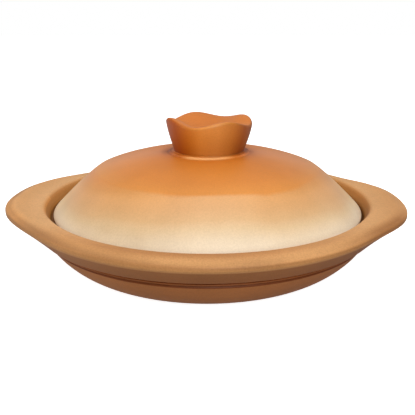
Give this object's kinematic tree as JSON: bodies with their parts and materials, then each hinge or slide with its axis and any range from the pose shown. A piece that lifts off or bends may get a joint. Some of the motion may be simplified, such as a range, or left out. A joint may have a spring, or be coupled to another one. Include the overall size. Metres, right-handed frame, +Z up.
{
  "type": "ceramic frying pan",
  "caption": "Low round ceramic frying pan whose flat rim swells into two side ears, with a domed lid that rests inside the rim and is lifted by an open knob with a wavy lip.",
  "frame": {"origin": "centre of the pan's base on the table, on the axis of the round pan", "axes": "+X towards the right ear, +Y towards the back, away from the viewer of the picture, +Z up along the axis of the pan and lid"},
  "size_m": [0.3131, 0.2808, 0.1123],
  "materials": {
    "pan_clay": "satin",
    "lid_clay": "satin"
  },
  "bodies": {
    "root": {"pan": "pan_clay", "lid": "lid_clay"}
  },
  "joints": []
}
